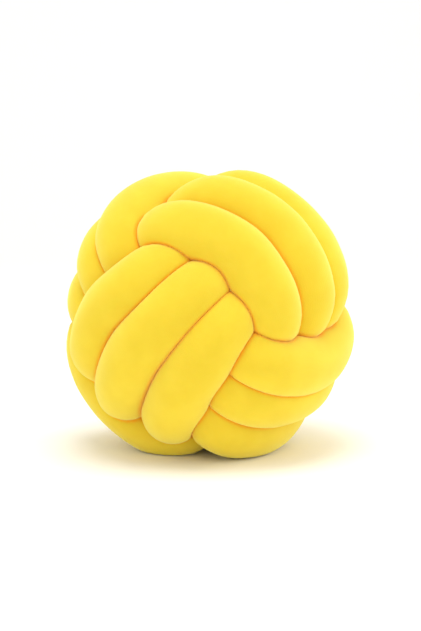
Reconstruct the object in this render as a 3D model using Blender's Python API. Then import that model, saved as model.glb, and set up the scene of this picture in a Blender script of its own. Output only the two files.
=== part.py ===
"""Decorative cushion: one long stuffed tube of knit cloth, tied into a ball of three crossing bands.

Each band goes three times round the ball. It passes over one neighbour band and under the other, and the
step from one band to the next, like both ends of the tube, is tucked into the middle of the ball.
"""

import math

import bpy
import numpy as np
from mathutils import Euler

# Driving sizes in metres
LINE_RADIUS = 0.1195    # middle line of the outer runs, measured from the middle of the ball
TUBE_RADIUS = 0.0318    # the stuffed tube where nothing presses on it
TURN_GAP = 0.0016       # left between turns that press on each other
FLAT_DEPTH = 0.0070     # how far the lowest turns are pressed flat by the surface

# Shares of LINE_RADIUS
OUTER_SPACING = 0.455   # between the middle lines of neighbouring outer runs
HIDDEN_SPACING = 0.29   # between the same runs where another band covers them
HIDDEN_DEPTH = 0.56     # distance of the covered runs from the middle of the ball

# A quarter of a loop, from the middle of a face to where another band covers it
# degrees round the ball, reach in LINE_RADIUS, share of the way from hidden to outer spacing
QUARTER_LOOP = (
    (0.0, 1.000, 1.00),
    (12.0, 1.000, 1.00),
    (24.0, 1.000, 0.97),
    (35.0, 0.965, 0.90),
    (45.0, 0.830, 0.72),
    (56.0, 0.675, 0.45),
    (70.0, 0.585, 0.15),
    (90.0, HIDDEN_DEPTH, 0.00),
)

# Where the three runs lie across each face, in run spacings, so that the creases between them lie nearly as
# in the photograph: each run at one end of the face, its middle and its other end; hidden runs are guessed
RUN_PLACES = {
    ("band a", "front"): ((0.70, 0.95, 0.73), (-0.16, 0.04, -0.03), (-1.10, -0.94, -0.80)),
    ("band a", "back"): ((1.00, 1.00, 1.00), (0.00, 0.00, 0.00), (-1.00, -1.00, -1.00)),
    ("band b", "front"): ((0.90, 0.85, 1.15), (-0.05, -0.20, 0.15), (-0.60, -1.20, -0.90)),
    ("band b", "back"): ((1.25, 1.40, 0.95), (0.35, 0.40, 0.10), (-0.70, -0.60, -0.85)),
    ("band c", "front"): ((0.95, 0.85, 0.65), (0.20, 0.10, -0.15), (-0.80, -0.90, -1.00)),
    ("band c", "back"): ((0.75, 0.83, 1.05), (-0.12, 0.20, 0.25), (-0.95, -0.80, -0.55)),
}
# The few runs that stand out from the rest, or lie below them, in LINE_RADIUS
RUN_LIFTS = {
    ("band b", "front", -1): 0.02,
    ("band b", "back", 1): 0.06,
    ("band c", "front", 1): 0.02,
    ("band c", "front", 0): -0.02,
    ("band c", "front", -1): -0.04,
    ("band c", "back", 1): 0.02,
    ("band c", "back", -1): 0.06,
}
# Degrees by which a run dives late under the next band, at its face's start and end, or early if under 0
LATE_DIVES = {
    ("band a", "front", 1): (0.0, -5.0),
    ("band a", "front", 0): (8.0, 2.0),
    ("band a", "front", -1): (-5.0, 0.0),
    ("band b", "front", 0): (3.0, 0.0),
    ("band b", "front", -1): (3.0, 0.0),
    ("band c", "back", 1): (8.0, 1.0),
    ("band c", "back", 0): (8.0, 3.0),
    ("band c", "back", -1): (8.0, 2.0),
}
BANDS = ("band a", "band b", "band c")
RUN_NUMBERS = (1, 0, -1)

# The way through the middle of the ball from the end of one band to the start of the next
# in LINE_RADIUS, along the band's own out, round and across directions
TUCKED_WAY = ((-0.02, 0.40, 0.25), (-0.20, 0.13, 0.20), (-0.27, -0.14, 0.38))
# Where the tube's own two ends are tucked to fill the middle, along the last band's directions
FIRST_END = ((-0.24, 0.00, 0.28), (-0.27, -0.14, 0.38))
LAST_END = ((-0.02, 0.40, 0.25), (-0.20, 0.13, 0.20), (-0.24, -0.20, -0.24))

# How the knot lies: turns about X, Y and Z in degrees, as in the photograph
KNOT_TURN = (47.0, 12.0, -124.0)

# How the surface is worked out
FACE_EDGE = 45.0        # degrees from a face's middle to where its runs dive
CURVE_STEPS = 16        # from each station of the tube to the next
LINE_STEP = 0.005       # between points of the middle line, in metres
EASING_ROUNDS = 8       # of averaging each of those points with its neighbours
PRESSING_DISTANCE = 2.6 * TUBE_RADIUS   # beyond which another turn doesn't press
OWN_STRETCH = 2.0 * LINE_STEP           # either way along the tube, left out as the ring's own
BEND_LENGTH = 2.5 * TUBE_RADIUS         # either way along the tube, where its own bend presses it
BEND_SHARE = 0.46       # of the way to the inside of such a bend, under half so that it never folds
LEAST_FACING = 1e-6     # metres, for a turn that lies behind a spoke
EDGE_EASE = 0.002       # width of the rounding where a pressed side begins, in metres
TAUT_ROUNDS = 3         # of drawing the cloth back from narrow corners
SPIKE = 0.002           # that a spoke may reach beyond the middle of its neighbours, in metres

# Mesh of the solid
RING_STEP = 0.0172      # between rings of the surface, in metres
SIDES = 16
CAP_ANGLES = (25.0, 50.0, 72.0)     # degrees round each tucked end, from its tip, where it gets a ring

KNIT_COLOUR = (0.93, 0.66, 0.06, 1.0)   # linear red, green and blue, and alpha


def loop_stations():
    """Degrees, reach and spread of each station once round the ball, from one covered place to the next."""
    outward = QUARTER_LOOP
    inward = QUARTER_LOOP[::-1]
    to_back = [(180.0 - degrees, reach, spread) for degrees, reach, spread in inward[1:]]
    from_back = [(180.0 + degrees, reach, spread) for degrees, reach, spread in outward[1:]]
    to_front = [(360.0 - degrees, reach, spread) for degrees, reach, spread in inward[1:]]
    from_front = [(360.0 + degrees, reach, spread) for degrees, reach, spread in outward[1:-1]]
    return to_back + from_back + to_front + from_front


def station_place(band, number, degrees, reach, spread):
    """One station of a loop in LINE_RADIUS, along its band's out, round and across directions."""
    side = "front" if math.cos(math.radians(degrees)) > 0.0 else "back"
    around = math.sin(math.radians(degrees))
    places = RUN_PLACES[band, side][RUN_NUMBERS.index(number)]
    place = np.interp(around / math.sin(math.radians(FACE_EDGE)), (-1.0, 0.0, 1.0), places)
    across = place * (spread * OUTER_SPACING + (1.0 - spread) * HIDDEN_SPACING)
    at_start, at_end = LATE_DIVES.get((band, side, number), (0.0, 0.0))
    degrees += (at_start if around < 0.0 else at_end) * math.sin(2.0 * math.radians(degrees))
    lift = spread * RUN_LIFTS.get((band, side, number), 0.0)
    height = reach * math.sqrt(1.0 - (spread * across) ** 2) + lift
    return height * math.cos(math.radians(degrees)), height * math.sin(math.radians(degrees)), across


def tube_stations():
    """Every station of the tube in order, in metres: three loops a band, with hidden steps between them."""
    stations = [np.roll(place, 2) for place in FIRST_END]
    for turn, band in enumerate(BANDS):
        for number in reversed(RUN_NUMBERS):
            if number > RUN_NUMBERS[-1]:
                step = (0.0, HIDDEN_DEPTH, (number - 0.5) * HIDDEN_SPACING)
                stations.append(np.roll(step, turn))
            for degrees, reach, spread in loop_stations():
                place = station_place(band, number, degrees, reach, spread)
                stations.append(np.roll(place, turn))
        way = TUCKED_WAY if band != BANDS[-1] else LAST_END
        stations += [np.roll(place, turn) for place in way]
    return LINE_RADIUS * np.array(stations)


def curve_through(stations):
    """Closely spaced points of a centripetal Catmull-Rom curve through the stations."""
    before_first = 2.0 * stations[0] - stations[1]
    after_last = 2.0 * stations[-1] - stations[-2]
    knots = np.vstack([before_first, stations, after_last])
    spans = np.sqrt(np.linalg.norm(np.diff(knots, axis=0), axis=1))
    share = np.arange(CURVE_STEPS)[:, None] / CURVE_STEPS
    points = []
    for i in range(1, len(knots) - 2):
        a, b, c, d = knots[i - 1:i + 3]
        before, here, after = spans[i - 1:i + 2]
        leaving = here * ((b - a) / before - (c - a) / (before + here)) + (c - b)
        arriving = here * ((d - c) / after - (d - b) / (here + after)) + (c - b)
        points.append(
            (2.0 * share ** 3 - 3.0 * share ** 2 + 1.0) * b
            + (share ** 3 - 2.0 * share ** 2 + share) * leaving
            + (3.0 * share ** 2 - 2.0 * share ** 3) * c
            + (share ** 3 - share ** 2) * arriving
        )
    return np.vstack(points + [stations[-1:]])


def middle_line():
    """The tube's middle line, as evenly spaced points with the stations' corners eased."""
    curve = curve_through(tube_stations())
    along = np.append(0.0, np.cumsum(np.linalg.norm(np.diff(curve, axis=0), axis=1)))
    count = round(along[-1] / LINE_STEP) + 1
    even = np.linspace(0.0, along[-1], count)
    line = np.stack([np.interp(even, along, curve[:, axis]) for axis in range(3)], axis=1)
    for _ in range(EASING_ROUNDS):
        line[1:-1] = 0.5 * line[1:-1] + 0.25 * (line[:-2] + line[2:])
    return line


def ring_places(length):
    """Distances along the tube where it gets a ring, and each ring's share of the free radius."""
    cap = TUBE_RADIUS * (1.0 - np.cos(np.radians(CAP_ANGLES)))
    count = round((length - 2.0 * TUBE_RADIUS) / RING_STEP) + 1
    body = np.linspace(TUBE_RADIUS, length - TUBE_RADIUS, count)
    places = np.concatenate([cap, body, length - cap[::-1]])
    from_end = np.minimum(places, length - places)
    rounding = np.sqrt(1.0 - np.clip(1.0 - from_end / TUBE_RADIUS, 0.0, 1.0) ** 2)
    return places, rounding


def ring_spokes(along):
    """Unit spokes of every ring, carried along the tube without twisting."""
    first = np.cross(along[0], (0.0, 0.0, 1.0))
    spoke = first / np.linalg.norm(first)
    angles = np.linspace(0.0, 2.0 * math.pi, SIDES, endpoint=False)[:, None]
    spokes = []
    for direction in along:
        spoke = spoke - spoke.dot(direction) * direction
        spoke /= np.linalg.norm(spoke)
        spokes.append(np.cos(angles) * spoke + np.sin(angles) * np.cross(direction, spoke))
    return np.array(spokes)


def pressed_reach(line, place, middle, spokes, free_radius):
    """How far one ring's spokes reach: the free radius, or half way to each turn that presses on it."""
    towards = line - middle
    apart = np.linalg.norm(towards, axis=1)
    along_tube = np.abs(np.arange(len(line)) * LINE_STEP - place)
    pressing = (apart < PRESSING_DISTANCE) & (along_tube > OWN_STRETCH)
    towards, apart, along_tube = towards[pressing], apart[pressing], along_tube[pressing]
    same_bend = along_tube < BEND_LENGTH
    half_way = np.where(same_bend, BEND_SHARE * apart ** 2, 0.5 * (apart - TURN_GAP) * apart)
    facing = np.maximum(spokes @ towards.T, LEAST_FACING)
    limit = (half_way / facing).min(axis=1)
    eased = -EDGE_EASE * np.log(np.exp(-free_radius / EDGE_EASE) + np.exp(-limit / EDGE_EASE))
    return np.minimum(eased, limit)


def taut(reach):
    """The reach of every spoke without the spikes into narrow corners, which the cloth spans."""
    for _ in range(TAUT_ROUNDS):
        around = 0.5 * (np.roll(reach, 1, axis=1) + np.roll(reach, -1, axis=1))
        reach = np.minimum(reach, around + SPIKE)
        reach[1:-1] = np.minimum(reach[1:-1], 0.5 * (reach[:-2] + reach[2:]) + SPIKE)
    return reach


def tube_surface():
    """Points of every ring, and the tube's two end points, around the ball's middle."""
    line = middle_line()
    length = (len(line) - 1) * LINE_STEP
    stations = np.arange(len(line)) * LINE_STEP
    places, rounding = ring_places(length)
    middles = np.stack([np.interp(places, stations, line[:, axis]) for axis in range(3)], axis=1)
    slope = np.gradient(line, axis=0)
    along = np.stack([np.interp(places, stations, slope[:, axis]) for axis in range(3)], axis=1)
    along /= np.linalg.norm(along, axis=1)[:, None]
    spokes = ring_spokes(along)
    reach = np.array([
        pressed_reach(line, *ring)
        for ring in zip(places, middles, spokes, rounding * TUBE_RADIUS)
    ])
    rings = middles[:, None] + taut(reach)[..., None] * spokes
    return rings, line[0], line[-1]


def settled(points):
    """Points of the knot as it lies: turned, set down, and pressed flat against the surface."""
    turn = np.array(Euler([math.radians(angle) for angle in KNOT_TURN]).to_matrix())
    points = points @ turn.T
    points[:, 2] -= points[:, 2].min() + FLAT_DEPTH
    points[:, 2] = np.maximum(points[:, 2], 0.0)
    middle = 0.5 * (points.min(axis=0) + points.max(axis=0))
    points[:, :2] -= middle[:2]
    return points


def knit_material():
    """Soft yellow knit."""
    material = bpy.data.materials.new("yellow_knit")
    material.use_nodes = True
    shader = material.node_tree.nodes["Principled BSDF"]
    shader.inputs["Base Color"].default_value = KNIT_COLOUR
    shader.inputs["Roughness"].default_value = 0.9
    shader.inputs["Metallic"].default_value = 0.0
    material.diffuse_color = KNIT_COLOUR
    return material


def knotted_tube():
    """The whole cushion: the tube as rings of quads, closed by a fan at each tucked end."""
    rings, first_end, last_end = tube_surface()
    ring_count = len(rings)
    points = settled(np.vstack([rings.reshape(-1, 3), [first_end, last_end]]))
    first, last = ring_count * SIDES, ring_count * SIDES + 1
    faces = []
    for side in range(SIDES):
        beside = (side + 1) % SIDES
        faces.append((first, beside, side))
        for ring in range(ring_count - 1):
            here, ahead = ring * SIDES, (ring + 1) * SIDES
            faces.append((here + side, here + beside, ahead + beside, ahead + side))
        end = (ring_count - 1) * SIDES
        faces.append((last, end + side, end + beside))
    mesh = bpy.data.meshes.new("knotted_tube")
    mesh.from_pydata(points.tolist(), [], faces)
    mesh.shade_smooth()
    mesh.materials.append(knit_material())
    tube = bpy.data.objects.new("knotted_tube", mesh)
    bpy.context.collection.objects.link(tube)
    return tube


def main():
    for item in list(bpy.data.objects):
        bpy.data.objects.remove(item)
    knotted_tube()


main()
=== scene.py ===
"""Knot ball cushion: a stuffed tube of yellow plush knit, tied into three crossing bands of three turns."""

import math

import bpy
import numpy as np
from bpy.props import FloatProperty, FloatVectorProperty, IntProperty, PointerProperty
from mathutils import Euler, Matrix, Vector, noise


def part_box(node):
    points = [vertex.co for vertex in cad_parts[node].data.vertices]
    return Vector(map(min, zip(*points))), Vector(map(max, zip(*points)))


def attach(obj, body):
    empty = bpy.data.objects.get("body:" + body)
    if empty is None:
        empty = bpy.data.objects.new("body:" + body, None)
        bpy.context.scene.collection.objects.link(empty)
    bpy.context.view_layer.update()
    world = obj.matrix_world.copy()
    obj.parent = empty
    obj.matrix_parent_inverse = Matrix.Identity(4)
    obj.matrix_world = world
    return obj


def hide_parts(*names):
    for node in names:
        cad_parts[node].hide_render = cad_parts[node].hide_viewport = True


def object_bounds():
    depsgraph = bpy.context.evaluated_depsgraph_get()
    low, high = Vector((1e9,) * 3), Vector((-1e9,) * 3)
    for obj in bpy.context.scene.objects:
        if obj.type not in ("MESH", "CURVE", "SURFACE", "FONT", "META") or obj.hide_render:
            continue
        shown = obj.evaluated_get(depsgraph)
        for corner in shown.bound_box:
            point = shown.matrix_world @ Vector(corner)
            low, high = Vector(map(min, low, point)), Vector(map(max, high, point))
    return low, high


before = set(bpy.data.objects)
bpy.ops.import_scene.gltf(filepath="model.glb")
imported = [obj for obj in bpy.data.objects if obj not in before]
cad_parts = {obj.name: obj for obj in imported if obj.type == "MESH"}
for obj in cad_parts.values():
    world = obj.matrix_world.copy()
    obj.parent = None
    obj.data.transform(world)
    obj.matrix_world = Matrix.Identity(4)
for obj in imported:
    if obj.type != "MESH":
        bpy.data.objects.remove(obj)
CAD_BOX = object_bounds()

bl_info = {
    "name": "Knot ball cushion",
    "version": (1, 0, 0),
    "blender": (4, 5, 0),
    "location": "3D View > Sidebar > Cushion",
    "description": "Ties a stuffed tube of plush knit into a ball, and sets up a pale studio",
    "category": "Add Mesh",
}

MM = 0.001

# A quarter of a loop, from the middle of a face to where another band covers it
# degrees round the ball, reach in line radii, share of the way from hidden to outer spacing
QUARTER_LOOP = (
    (0.0, 1.000, 1.00),
    (12.0, 1.000, 1.00),
    (24.0, 1.000, 0.97),
    (35.0, 0.965, 0.90),
    (45.0, 0.830, 0.72),
    (56.0, 0.675, 0.45),
    (70.0, 0.585, 0.15),
    (90.0, 0.560, 0.00),
)
HIDDEN_DEPTH = QUARTER_LOOP[-1][1]

# Where the three runs lie across each face, in run spacings: each run at one end of the face, its middle
# and its other end
RUN_PLACES = {
    ("band a", "front"): ((0.70, 0.95, 0.73), (-0.16, 0.04, -0.03), (-1.10, -0.94, -0.80)),
    ("band a", "back"): ((1.00, 1.00, 1.00), (0.00, 0.00, 0.00), (-1.00, -1.00, -1.00)),
    ("band b", "front"): ((0.90, 0.85, 1.15), (-0.05, -0.20, 0.15), (-0.60, -1.20, -0.90)),
    ("band b", "back"): ((1.25, 1.40, 0.95), (0.35, 0.40, 0.10), (-0.70, -0.60, -0.85)),
    ("band c", "front"): ((0.95, 0.85, 0.65), (0.20, 0.10, -0.15), (-0.80, -0.90, -1.00)),
    ("band c", "back"): ((0.75, 0.83, 1.05), (-0.12, 0.20, 0.25), (-0.95, -0.80, -0.55)),
}
# How far some runs stand out from the rest, or lie below them if under 0, in line radii
RUN_LIFTS = {
    ("band b", "front", -1): 0.02,
    ("band b", "back", 1): 0.06,
    ("band c", "front", 1): 0.02,
    ("band c", "front", 0): -0.02,
    ("band c", "front", -1): -0.04,
    ("band c", "back", 1): 0.02,
    ("band c", "back", -1): 0.06,
}
# Degrees by which a run dives late under the next band, at its face's start and end, or early if under 0
LATE_DIVES = {
    ("band a", "front", 1): (0.0, -5.0),
    ("band a", "front", 0): (8.0, 2.0),
    ("band a", "front", -1): (-5.0, 0.0),
    ("band b", "front", 0): (3.0, 0.0),
    ("band b", "front", -1): (3.0, 0.0),
    ("band c", "back", 1): (8.0, 1.0),
    ("band c", "back", 0): (8.0, 3.0),
    ("band c", "back", -1): (8.0, 2.0),
}
BANDS = ("band a", "band b", "band c")
RUN_NUMBERS = (1, 0, -1)
FACE_EDGE = 45.0        # degrees from a face's middle to where its runs dive

# The way through the middle of the ball from the end of one band to the start of the next, in line radii
TUCKED_WAY = ((-0.02, 0.40, 0.25), (-0.20, 0.13, 0.20), (-0.27, -0.14, 0.38))
# Where the tube's own two ends are tucked to fill the middle, along the last band's directions
FIRST_END = ((-0.24, 0.00, 0.28), (-0.27, -0.14, 0.38))
LAST_END = ((-0.02, 0.40, 0.25), (-0.20, 0.13, 0.20), (-0.24, -0.20, -0.24))

# How the surface is worked out
CURVE_STEPS = 16        # from each station of the tube to the next
LINE_STEP = 5.0 * MM    # between points of the middle line
EASING_ROUNDS = 8       # of averaging each of those points with its neighbours
PRESSING_DISTANCE = 2.6     # tube radii, beyond which another turn doesn't press
OWN_STRETCH = 2.0       # line steps either way along the tube, left out as the ring's own
BEND_LENGTH = 2.5       # tube radii either way along the tube, where its own bend presses it
BEND_SHARE = 0.46       # of the way to the inside of such a bend, under half so that it never folds
LEAST_FACING = 1e-6     # metres, for a turn that lies behind a spoke
TAUT_ROUNDS = 3         # of drawing the cloth back from narrow corners
SPIKE = 1.0 * MM        # that a spoke may reach beyond the middle of its neighbours
CAP_ANGLES = (15.0, 30.0, 45.0, 60.0, 75.0)     # degrees round each tucked end, where it gets a ring
MAP_ROWS = 6            # in which the long tube is laid out for a painted texture
MAP_MARGIN = 0.04       # of a row, kept free at its edges
LUMP_WIDTH = 30.0 * MM  # of the soft unevenness that the filling leaves
CREASE_WIDTH = 10.0 * MM    # over which the pile goes from free to fully pressed, and the painted crease shade fades in
FLAT_EASE = 1.0 * MM    # rounding at the rim of the flat patches

# How the knit is drawn
NAP_TURNS = (0.35, 0.65)    # values of a noise, between which the nap goes from one lie to the other
CREASE_SHADE_FROM = 0.4       # of full pressing, where the painted crease shade starts to deepen the pile's colour
TUFT_HEIGHT = 0.4 * MM
STITCH_HEIGHT = 0.15 * MM
WAVES_SPAN = 4.0        # from the lowest to the highest sum of the two waves that make a stitch

# Places of a Mix node's sockets when it mixes colours
MIX_FACTOR, MIX_A, MIX_B, MIX_COLOUR = 0, 6, 7, 2

# The studio, in metres
FLOOR_GAP = 0.3 * MM    # kept under the cushion
FLOOR_FRONT = 3.0       # reach of the floor in front of the cushion
BACKDROP_BACK = 3.2     # distance of the wall behind it
BACKDROP_SWEEP = 1.0    # radius of the bend from floor to wall
BACKDROP_HEIGHT = 4.0
BACKDROP_HALF = 4.0     # reach to each side
SWEEP_STEPS = 12        # faces along the bend
# Each lamp's power among the studio's values, its width and its place
LAMPS = {
    "key_lamp": ("key_power", 1.4, (-0.1, -0.4, 2.2)),
    "fill_lamp": ("fill_power", 1.2, (2.0, 0.6, 0.7)),
    "low_lamp": ("low_power", 0.8, (-0.3, -2.0, 0.45)),
}
SENSOR_WIDTH = 36.0     # millimetres


def linear(colour):
    """An sRGB hex colour as linear red, green, blue and alpha."""
    channels = [int(colour[i:i + 2], 16) / 255.0 for i in (1, 3, 5)]
    return tuple(c / 12.92 if c <= 0.04045 else ((c + 0.055) / 1.055) ** 2.4 for c in channels) + (1.0,)


class KnotSizes(bpy.types.PropertyGroup):
    """Sizes of the tube and of the ball it is tied into."""

    line_radius: FloatProperty(
        name="Line radius", description="From the middle of the ball to the middle of its outer runs",
        default=0.1195, min=0.02, unit="LENGTH",
    )
    tube_radius: FloatProperty(
        name="Tube radius", description="Of the stuffed tube where nothing presses on it",
        default=0.0318, min=0.005, unit="LENGTH",
    )
    pile_overlap: FloatProperty(
        name="Pile overlap", description="How far the pile of neighbouring turns sinks together",
        default=0.0024, min=0.0, unit="LENGTH",
    )
    edge_ease: FloatProperty(
        name="Edge ease", description="Width of the rounding where a pressed side begins",
        default=0.0020, min=0.0002, unit="LENGTH",
    )
    flat_depth: FloatProperty(
        name="Flat depth", description="How far the lowest turns are pressed flat by the surface",
        default=0.0070, min=0.0, unit="LENGTH",
    )
    lumps: FloatProperty(
        name="Lumps", description="Height of the soft unevenness that the filling leaves",
        default=0.0005, min=0.0, unit="LENGTH",
    )
    outer_spacing: FloatProperty(
        name="Outer spacing", description="Between neighbouring outer runs, in line radii",
        default=0.455,
    )
    hidden_spacing: FloatProperty(
        name="Hidden spacing", description="Between runs that another band covers, in line radii",
        default=0.29,
    )
    turn: FloatVectorProperty(
        name="Turn", description="How the knot lies, about X, Y and Z", subtype="EULER",
        default=(math.radians(47.0), math.radians(12.0), math.radians(-124.0)),
    )
    ring_step: FloatProperty(
        name="Ring step", description="Between rings of the surface",
        default=0.0052, min=0.001, unit="LENGTH",
    )
    sides: IntProperty(name="Sides", description="Points round each ring", default=72, min=8)


class KnitLook(bpy.types.PropertyGroup):
    """Colours and scales of the plush knit."""

    pile: FloatVectorProperty(
        name="Pile", description="Colour of the brushed face of the knit", subtype="COLOR", size=4,
        default=linear("#F3D93A"), min=0.0, max=1.0,
    )
    shaded_pile: FloatVectorProperty(
        name="Shaded pile", description="Colour where the nap lies away from the light", subtype="COLOR",
        size=4, default=linear("#F0D535"), min=0.0, max=1.0,
    )
    # Painted crease shade: a deeper orange put into the pile where turns press together, standing in for
    # shade and yellow light bounced between touching turns
    painted_crease_shade: FloatVectorProperty(
        name="Painted crease shade", description="Colour where turns press the pile together", subtype="COLOR",
        size=4, default=linear("#FFBC20"), min=0.0, max=1.0,
    )
    sheen: FloatVectorProperty(
        name="Sheen", description="Tint of the light that the pile's tips catch", subtype="COLOR",
        size=4, default=linear("#FFF6A0"), min=0.0, max=1.0,
    )
    # The real stitches are about 1.2 mm wide, too fine to show, and are drawn at twice that
    stitch: FloatProperty(
        name="Stitch", description="Width of one stitch of the knit", default=0.0024, unit="LENGTH",
    )
    pile_tuft: FloatProperty(
        name="Pile tuft", description="Width of one tuft of the pile", default=0.0012, unit="LENGTH",
    )
    nap: FloatProperty(
        name="Nap", description="Width of the patches in which the pile lies one way",
        default=0.022, unit="LENGTH",
    )


class StudioSet(bpy.types.PropertyGroup):
    """The pale studio and its camera."""

    floor: FloatVectorProperty(
        name="Floor", description="Colour of the floor and backdrop", subtype="COLOR", size=4,
        default=linear("#FCFCFA"), min=0.0, max=1.0,
    )
    surround: FloatProperty(name="Surround", description="Strength of the white all round", default=0.9)
    key_power: FloatProperty(
        name="Key power", description="Of the large lamp above", default=21.0, unit="POWER",
    )
    fill_power: FloatProperty(
        name="Fill power", description="Of the lamp at the side", default=12.0, unit="POWER",
    )
    low_power: FloatProperty(
        name="Low power", description="Of the lamp low in front", default=0.3, unit="POWER",
    )
    camera_distance: FloatProperty(
        name="Camera distance", description="From the middle of the ball", default=1.568, unit="LENGTH",
    )
    aim_right: FloatProperty(
        name="Aim right", description="The camera aims this far right of the middle",
        default=0.0011, unit="LENGTH",
    )
    aim_up: FloatProperty(
        name="Aim up", description="The camera aims this far above the middle",
        default=-0.0036, unit="LENGTH",
    )
    camera_height: FloatProperty(
        name="Camera height", description="Angle above level", subtype="ANGLE",
        default=math.radians(7.2),
    )
    camera_turn: FloatProperty(
        name="Camera turn", description="Angle round to the right", subtype="ANGLE",
        default=math.radians(-0.7),
    )
    lens: FloatProperty(
        name="Lens", description="Focal length in millimetres on a 36 mm wide sensor", default=130.0,
    )


def loop_stations():
    """Degrees, reach and spread of each station once round the ball, between two covered places."""
    outward = QUARTER_LOOP
    inward = QUARTER_LOOP[::-1]
    to_back = [(180.0 - degrees, reach, spread) for degrees, reach, spread in inward[1:]]
    from_back = [(180.0 + degrees, reach, spread) for degrees, reach, spread in outward[1:]]
    to_front = [(360.0 - degrees, reach, spread) for degrees, reach, spread in inward[1:]]
    from_front = [(360.0 + degrees, reach, spread) for degrees, reach, spread in outward[1:-1]]
    return to_back + from_back + to_front + from_front


def station_place(sizes, band, number, degrees, reach, spread):
    """One station of a loop in line radii, along its band's out, round and across directions."""
    side = "front" if math.cos(math.radians(degrees)) > 0.0 else "back"
    around = math.sin(math.radians(degrees))
    places = RUN_PLACES[band, side][RUN_NUMBERS.index(number)]
    place = np.interp(around / math.sin(math.radians(FACE_EDGE)), (-1.0, 0.0, 1.0), places)
    across = place * (spread * sizes.outer_spacing + (1.0 - spread) * sizes.hidden_spacing)
    at_start, at_end = LATE_DIVES.get((band, side, number), (0.0, 0.0))
    degrees += (at_start if around < 0.0 else at_end) * math.sin(2.0 * math.radians(degrees))
    lift = spread * RUN_LIFTS.get((band, side, number), 0.0)
    height = reach * math.sqrt(1.0 - (spread * across) ** 2) + lift
    return height * math.cos(math.radians(degrees)), height * math.sin(math.radians(degrees)), across


def tube_stations(sizes):
    """Every station of the tube in order, in metres: three loops a band, and hidden steps between."""
    stations = [np.roll(place, 2) for place in FIRST_END]
    for turn, band in enumerate(BANDS):
        for number in reversed(RUN_NUMBERS):
            if number > RUN_NUMBERS[-1]:
                step = (0.0, HIDDEN_DEPTH, (number - 0.5) * sizes.hidden_spacing)
                stations.append(np.roll(step, turn))
            for degrees, reach, spread in loop_stations():
                place = station_place(sizes, band, number, degrees, reach, spread)
                stations.append(np.roll(place, turn))
        way = TUCKED_WAY if band != BANDS[-1] else LAST_END
        stations += [np.roll(place, turn) for place in way]
    return sizes.line_radius * np.array(stations)


def curve_through(stations):
    """Closely spaced points of a centripetal Catmull-Rom curve through the stations."""
    before_first = 2.0 * stations[0] - stations[1]
    after_last = 2.0 * stations[-1] - stations[-2]
    knots = np.vstack([before_first, stations, after_last])
    spans = np.sqrt(np.linalg.norm(np.diff(knots, axis=0), axis=1))
    share = np.arange(CURVE_STEPS)[:, None] / CURVE_STEPS
    points = []
    for i in range(1, len(knots) - 2):
        a, b, c, d = knots[i - 1:i + 3]
        before, here, after = spans[i - 1:i + 2]
        leaving = here * ((b - a) / before - (c - a) / (before + here)) + (c - b)
        arriving = here * ((d - c) / after - (d - b) / (here + after)) + (c - b)
        points.append(
            (2.0 * share ** 3 - 3.0 * share ** 2 + 1.0) * b
            + (share ** 3 - 2.0 * share ** 2 + share) * leaving
            + (3.0 * share ** 2 - 2.0 * share ** 3) * c
            + (share ** 3 - share ** 2) * arriving
        )
    return np.vstack(points + [stations[-1:]])


def middle_line(sizes):
    """The tube's middle line, as evenly spaced points with the stations' corners eased."""
    curve = curve_through(tube_stations(sizes))
    along = np.append(0.0, np.cumsum(np.linalg.norm(np.diff(curve, axis=0), axis=1)))
    count = round(along[-1] / LINE_STEP) + 1
    even = np.linspace(0.0, along[-1], count)
    line = np.stack([np.interp(even, along, curve[:, axis]) for axis in range(3)], axis=1)
    for _ in range(EASING_ROUNDS):
        line[1:-1] = 0.5 * line[1:-1] + 0.25 * (line[:-2] + line[2:])
    return line


def ring_places(sizes, length):
    """Distances along the tube where it gets a ring, and each ring's share of the free radius."""
    radius = sizes.tube_radius
    cap = radius * (1.0 - np.cos(np.radians(CAP_ANGLES)))
    count = round((length - 2.0 * radius) / sizes.ring_step) + 1
    body = np.linspace(radius, length - radius, count)
    places = np.concatenate([cap, body, length - cap[::-1]])
    from_end = np.minimum(places, length - places)
    rounding = np.sqrt(1.0 - np.clip(1.0 - from_end / radius, 0.0, 1.0) ** 2)
    return places, rounding


def ring_spokes(along, sides):
    """Unit spokes of every ring, carried along the tube without twisting."""
    first = np.cross(along[0], (0.0, 0.0, 1.0))
    spoke = first / np.linalg.norm(first)
    angles = np.linspace(0.0, 2.0 * math.pi, sides, endpoint=False)[:, None]
    spokes = []
    for direction in along:
        spoke = spoke - spoke.dot(direction) * direction
        spoke /= np.linalg.norm(spoke)
        spokes.append(np.cos(angles) * spoke + np.sin(angles) * np.cross(direction, spoke))
    return np.array(spokes)


def pressing_limit(sizes, line, place, middle, spokes):
    """How far one ring's spokes can go before they are half way to a turn that lies beside it."""
    towards = line - middle
    apart = np.linalg.norm(towards, axis=1)
    along_tube = np.abs(np.arange(len(line)) * LINE_STEP - place)
    near = (apart < PRESSING_DISTANCE * sizes.tube_radius) & (along_tube > OWN_STRETCH * LINE_STEP)
    towards, apart, along_tube = towards[near], apart[near], along_tube[near]
    same_bend = along_tube < BEND_LENGTH * sizes.tube_radius
    half_way = np.where(same_bend, BEND_SHARE * apart ** 2, 0.5 * (apart + sizes.pile_overlap) * apart)
    facing = np.maximum(spokes @ towards.T, LEAST_FACING)
    return (half_way / facing).min(axis=1)


def taut(reach):
    """The reach of every spoke without the spikes into narrow corners, which the cloth spans."""
    for _ in range(TAUT_ROUNDS):
        around = 0.5 * (np.roll(reach, 1, axis=1) + np.roll(reach, -1, axis=1))
        reach = np.minimum(reach, around + SPIKE)
        reach[1:-1] = np.minimum(reach[1:-1], 0.5 * (reach[:-2] + reach[2:]) + SPIKE)
    return reach


def filling_lumps(sizes, places):
    """Height of the soft unevenness of the filling at each of these places."""
    height = [noise.noise(Vector(place) / LUMP_WIDTH) for place in places.reshape(-1, 3)]
    return sizes.lumps * np.array(height).reshape(places.shape[:-1])


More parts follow.
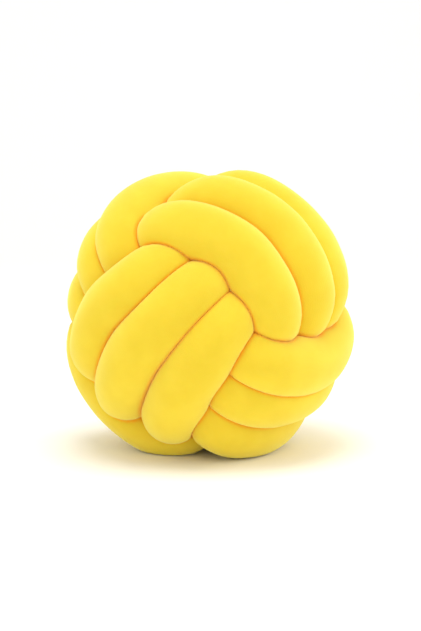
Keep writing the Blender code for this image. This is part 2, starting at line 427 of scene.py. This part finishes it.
def tube_surface(sizes):
    """Rings of the tube, its two end points, and how far each point of a ring is pressed, from 0 to 1."""
    line = middle_line(sizes)
    length = (len(line) - 1) * LINE_STEP
    stations = np.arange(len(line)) * LINE_STEP
    places, rounding = ring_places(sizes, length)
    middles = np.stack([np.interp(places, stations, line[:, axis]) for axis in range(3)], axis=1)
    slope = np.gradient(line, axis=0)
    along = np.stack([np.interp(places, stations, slope[:, axis]) for axis in range(3)], axis=1)
    along /= np.linalg.norm(along, axis=1)[:, None]
    spokes = ring_spokes(along, sizes.sides)
    limit = np.array([pressing_limit(sizes, line, *ring) for ring in zip(places, middles, spokes)])
    free = rounding[:, None] * np.full(sizes.sides, sizes.tube_radius)
    free += rounding[:, None] * filling_lumps(sizes, middles[:, None] + free[..., None] * spokes)
    ease = sizes.edge_ease
    eased = -ease * np.log(np.exp(-free / ease) + np.exp(-limit / ease))
    reach = taut(np.minimum(eased, limit))
    pressed = np.clip(1.0 - (limit - free) / CREASE_WIDTH, 0.0, 1.0)
    return middles[:, None] + reach[..., None] * spokes, line[[0, -1]], pressed


def settled(sizes, points):
    """Points of the knot as it lies: turned, pressed flat against the floor, and in its node's place."""
    points = points @ np.array(Euler(sizes.turn).to_matrix()).T
    height = points[:, 2] - points[:, 2].min() - sizes.flat_depth
    points[:, 2] = FLAT_EASE * np.logaddexp(0.0, height / FLAT_EASE)
    lowest, highest = (np.array(corner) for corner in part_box("knotted_tube"))
    middle = 0.5 * (points.min(axis=0) + points.max(axis=0))
    points[:, :2] += (0.5 * (lowest + highest) - middle)[:2]
    return points


def tube_faces(ring_count, sides):
    """Faces of the tube, and for each of their corners the face's ring and the corner's ring and side.

    The tips of the two ends lie one ring further out, and half way between the two sides that they join.
    """
    faces, corners = [], []
    first, last = ring_count * sides, ring_count * sides + 1
    end = ring_count - 1
    for side in range(sides):
        beside = (side + 1) % sides
        faces.append((first, beside, side))
        corners.append(((0, -1, side + 0.5), (0, 0, side + 1), (0, 0, side)))
        faces.append((last, end * sides + side, end * sides + beside))
        corners.append(((end - 1, end + 1, side + 0.5), (end - 1, end, side), (end - 1, end, side + 1)))
    for ring in range(end):
        here, ahead = ring * sides, (ring + 1) * sides
        for side in range(sides):
            beside = (side + 1) % sides
            faces.append((here + side, here + beside, ahead + beside, ahead + side))
            corners.append((
                (ring, ring, side), (ring, ring, side + 1),
                (ring, ring + 1, side + 1), (ring, ring + 1, side),
            ))
    return faces, np.array([corner for face in corners for corner in face], float)


def add_maps(mesh, sizes, stitch, corners, ring_count):
    """The map for painted textures, laid out in rows of the tube, and the map that counts stitches."""
    face_ring, ring, side = corners.T
    row_rings = math.ceil((ring_count - 1) / MAP_ROWS)
    row = face_ring // row_rings
    inner = 1.0 - 2.0 * MAP_MARGIN
    painted = np.stack([
        MAP_MARGIN + inner * (ring - row * row_rings) / row_rings,
        (row + MAP_MARGIN + inner * side / sizes.sides) / MAP_ROWS,
    ], axis=1)
    round_tube = round(2.0 * math.pi * sizes.tube_radius / stitch)
    counted = np.stack([ring * sizes.ring_step / stitch, side * round_tube / sizes.sides], axis=1)
    for name, places in (("OFBake", painted), ("stitches", counted)):
        mesh.uv_layers.new(name=name).data.foreach_set("uv", places.astype(np.float32).ravel())


def add_node(tree, kind, inputs=None, **settings):
    """One shader node with its settings; each input is a value, or the output socket that feeds it."""
    node = tree.nodes.new(kind)
    for name, value in settings.items():
        setattr(node, name, value)
    for name, value in (inputs or {}).items():
        if isinstance(value, bpy.types.NodeSocket):
            tree.links.new(value, node.inputs[name])
        else:
            node.inputs[name].default_value = value
    return node


def brushed_plush_knit(look):
    """Fine polyester jersey, knitted, brushed and sheared to a short pile.

    It gives the eye a matte face whose pile tips turn pale where they are seen edge on, a painted crease
    shade of deeper orange where turns press the pile together, slow patches where the nap lies another way,
    and faint stitches.
    """
    material = bpy.data.materials.new("brushed_plush_knit")
    material.use_nodes = True
    tree = material.node_tree
    tree.nodes.clear()

    place = add_node(tree, "ShaderNodeTexCoord").outputs["Object"]
    nap = add_node(tree, "ShaderNodeTexNoise", {"Vector": place, "Scale": 1.0 / look.nap, "Detail": 2.0})
    lying = add_node(tree, "ShaderNodeMapRange", {
        "Value": nap.outputs["Fac"], "From Min": NAP_TURNS[0], "From Max": NAP_TURNS[1],
    })
    face = add_node(tree, "ShaderNodeMix", {
        MIX_FACTOR: lying.outputs["Result"], MIX_A: look.pile, MIX_B: look.shaded_pile,
    }, data_type="RGBA")
    # Painted crease shade: near creases the pile's colour deepens to orange, standing in for shade and
    # light bounced between touching turns
    pressed = add_node(tree, "ShaderNodeAttribute", attribute_name="pressed")
    crease_shade = add_node(tree, "ShaderNodeMapRange", {
        "Value": pressed.outputs["Fac"], "From Min": CREASE_SHADE_FROM,
    }, interpolation_type="SMOOTHSTEP")
    colour = add_node(tree, "ShaderNodeMix", {
        MIX_FACTOR: crease_shade.outputs["Result"], MIX_A: face.outputs[MIX_COLOUR], MIX_B: look.painted_crease_shade,
    }, data_type="RGBA")

    fuzz = add_node(tree, "ShaderNodeTexNoise", {
        "Vector": place, "Scale": 1.0 / look.pile_tuft, "Detail": 3.0,
    })
    tufted = add_node(tree, "ShaderNodeBump", {
        "Height": fuzz.outputs["Fac"], "Strength": 0.35, "Distance": TUFT_HEIGHT,
    })
    knitted = add_node(tree, "ShaderNodeBump", {
        "Height": stitch_waves(tree), "Strength": 0.3, "Distance": STITCH_HEIGHT / WAVES_SPAN,
        "Normal": tufted.outputs["Normal"],
    })

    shader = add_node(tree, "ShaderNodeBsdfPrincipled", {
        "Base Color": colour.outputs[MIX_COLOUR],
        "Normal": knitted.outputs["Normal"],
        "Roughness": 0.85,
        "Diffuse Roughness": 0.9,
        "Specular IOR Level": 0.25,
        "Subsurface Weight": 0.25,
        "Subsurface Radius": (1.0, 0.6, 0.15),
        "Subsurface Scale": 6.0 * MM,
        "Sheen Weight": 0.75,
        "Sheen Roughness": 0.45,
        "Sheen Tint": look.sheen,
    })
    add_node(tree, "ShaderNodeOutputMaterial", {"Surface": shader.outputs["BSDF"]})
    material.diffuse_color = look.pile
    return material


def stitch_waves(tree):
    """The knit's V-shaped stitches as the sum of two waves, worked out from the map that counts them."""
    counted = add_node(tree, "ShaderNodeUVMap", uv_map="stitches")
    place = add_node(tree, "ShaderNodeSeparateXYZ", {"Vector": counted.outputs["UV"]})
    from_middle = add_node(tree, "ShaderNodeMath", {
        0: place.outputs["Y"], 1: 0.5,
    }, operation="PINGPONG").outputs["Value"]
    leaning = add_node(tree, "ShaderNodeMath", {
        0: place.outputs["X"], 1: from_middle,
    }, operation="ADD").outputs["Value"]
    waves = []
    for way in (leaning, from_middle):
        turned = add_node(tree, "ShaderNodeMath", {0: way, 1: 2.0 * math.pi}, operation="MULTIPLY")
        waves.append(add_node(tree, "ShaderNodeMath", {0: turned.outputs["Value"]}, operation="COSINE"))
    rows, columns = waves
    return add_node(tree, "ShaderNodeMath", {
        0: rows.outputs["Value"], 1: columns.outputs["Value"],
    }, operation="ADD").outputs["Value"]


def plain_matte(name, colour):
    """Painted studio board: even, matte, with no shine."""
    material = bpy.data.materials.new(name)
    material.use_nodes = True
    shader = material.node_tree.nodes["Principled BSDF"]
    shader.inputs["Base Color"].default_value = colour
    shader.inputs["Roughness"].default_value = 0.95
    shader.inputs["Specular IOR Level"].default_value = 0.1
    return material


def new_object(name, data):
    """A new object of this data in the scene."""
    made = bpy.data.objects.new(name, data)
    bpy.context.collection.objects.link(made)
    return made


class CUSHION_OT_plush_tube(bpy.types.Operator):
    """Tie the stuffed tube into a ball"""

    bl_idname = "cushion.plush_tube"
    bl_label = "Tie plush tube"

    def execute(self, context):
        sizes, look = context.scene.knot_sizes, context.scene.knit_look
        rings, ends, pressed = tube_surface(sizes)
        ring_count = len(rings)
        points = settled(sizes, np.vstack([rings.reshape(-1, 3), ends]))
        faces, corners = tube_faces(ring_count, sizes.sides)
        mesh = bpy.data.meshes.new("plush_tube")
        mesh.from_pydata(points.tolist(), [], faces)
        mesh.shade_smooth()
        # The pressed share also masks the painted crease shade in the knit's colour
        free_tips = (0.0, 0.0)
        pressed = np.append(pressed.ravel(), free_tips).astype(np.float32)
        mesh.attributes.new("pressed", "FLOAT", "POINT").data.foreach_set("value", pressed)
        add_maps(mesh, sizes, look.stitch, corners, ring_count)
        mesh.materials.append(brushed_plush_knit(look))
        tube = new_object("plush_tube", mesh)
        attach(tube, "root")
        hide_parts("knotted_tube")
        return {"FINISHED"}


def backdrop_profile():
    """Floor, sweep and wall from front to back, as distances back and up."""
    profile = [(-FLOOR_FRONT, 0.0)]
    for angle in np.radians(np.linspace(0.0, 90.0, SWEEP_STEPS + 1)):
        back = BACKDROP_BACK - BACKDROP_SWEEP * (1.0 - math.sin(angle))
        profile.append((back, BACKDROP_SWEEP * (1.0 - math.cos(angle))))
    return profile + [(BACKDROP_BACK, BACKDROP_HEIGHT)]


def add_backdrop(colour):
    """A pale floor that sweeps up into a pale wall."""
    points, faces = [], []
    for back, up in backdrop_profile():
        points += [(-BACKDROP_HALF, back, up - FLOOR_GAP), (BACKDROP_HALF, back, up - FLOOR_GAP)]
    for i in range(0, len(points) - 2, 2):
        faces.append((i, i + 1, i + 3, i + 2))
    mesh = bpy.data.meshes.new("backdrop")
    mesh.from_pydata(points, [], faces)
    mesh.shade_smooth()
    mesh.materials.append(plain_matte("studio_board", colour))
    backdrop = new_object("backdrop", mesh)


def aim(item, place, target):
    """Put a lamp or camera at a place and point it at a target."""
    item.location = place
    item.rotation_euler = (target - place).to_track_quat("-Z", "Y").to_euler()


def add_lamp(name, power, width, place, target):
    """A large soft lamp."""
    light = bpy.data.lights.new(name, "AREA")
    light.energy = power
    light.shape = "DISK"
    light.size = width
    aim(new_object(name, light), Vector(place), target)


def add_camera(studio, middle):
    """The camera, as high above the ball as the photograph suggests."""
    camera = new_object("camera", bpy.data.cameras.new("camera"))
    camera.data.sensor_fit = "HORIZONTAL"
    camera.data.sensor_width = SENSOR_WIDTH
    camera.data.lens = studio.lens
    facing = Euler((math.pi / 2.0 - studio.camera_height, 0.0, studio.camera_turn))
    camera.rotation_euler = facing
    away = facing.to_matrix() @ Vector((studio.aim_right, studio.aim_up, studio.camera_distance))
    camera.location = middle + away
    bpy.context.scene.camera = camera


def white_surround(strength):
    """Even white light from all round."""
    surround = bpy.data.worlds.new("white_surround")
    surround.use_nodes = True
    background = surround.node_tree.nodes["Background"]
    background.inputs["Color"].default_value = (1.0, 1.0, 1.0, 1.0)
    background.inputs["Strength"].default_value = strength
    return surround


class CUSHION_OT_studio(bpy.types.Operator):
    """Set up the pale studio and the camera"""

    bl_idname = "cushion.studio"
    bl_label = "Set up studio"

    def execute(self, context):
        scene = context.scene
        studio = scene.studio_set
        add_backdrop(studio.floor)
        lowest, highest = CAD_BOX
        middle = 0.5 * (lowest + highest)
        for name, (power, width, place) in LAMPS.items():
            add_lamp(name, getattr(studio, power), width, place, middle)
        scene.world = white_surround(studio.surround)
        # The yellow keeps its strength only without a film-like tone curve
        scene.view_settings.view_transform = "Standard"
        add_camera(studio, middle)
        return {"FINISHED"}


class CUSHION_PT_sidebar(bpy.types.Panel):
    """The steps and values of the cushion"""

    bl_idname = "CUSHION_PT_sidebar"
    bl_label = "Knot ball cushion"
    bl_space_type = "VIEW_3D"
    bl_region_type = "UI"
    bl_category = "Cushion"

    def draw(self, context):
        scene = context.scene
        for step, values in (
            (CUSHION_OT_plush_tube, (scene.knot_sizes, scene.knit_look)),
            (CUSHION_OT_studio, (scene.studio_set,)),
        ):
            box = self.layout.box()
            box.operator(step.bl_idname)
            for group in values:
                for name in group.bl_rna.properties.keys():
                    if name not in ("rna_type", "name"):
                        box.prop(group, name)


CLASSES = (KnotSizes, KnitLook, StudioSet, CUSHION_OT_plush_tube, CUSHION_OT_studio, CUSHION_PT_sidebar)


def register():
    """Register the classes, and give the scene their values."""
    for made in CLASSES:
        bpy.utils.register_class(made)
    bpy.types.Scene.knot_sizes = PointerProperty(type=KnotSizes)
    bpy.types.Scene.knit_look = PointerProperty(type=KnitLook)
    bpy.types.Scene.studio_set = PointerProperty(type=StudioSet)


def unregister():
    """Take back what register() did."""
    del bpy.types.Scene.studio_set
    del bpy.types.Scene.knit_look
    del bpy.types.Scene.knot_sizes
    for made in reversed(CLASSES):
        bpy.utils.unregister_class(made)


def main():
    """Make the cushion and its studio."""
    register()
    bpy.ops.cushion.plush_tube()
    bpy.ops.cushion.studio()


if __name__ == "__main__":
    main()
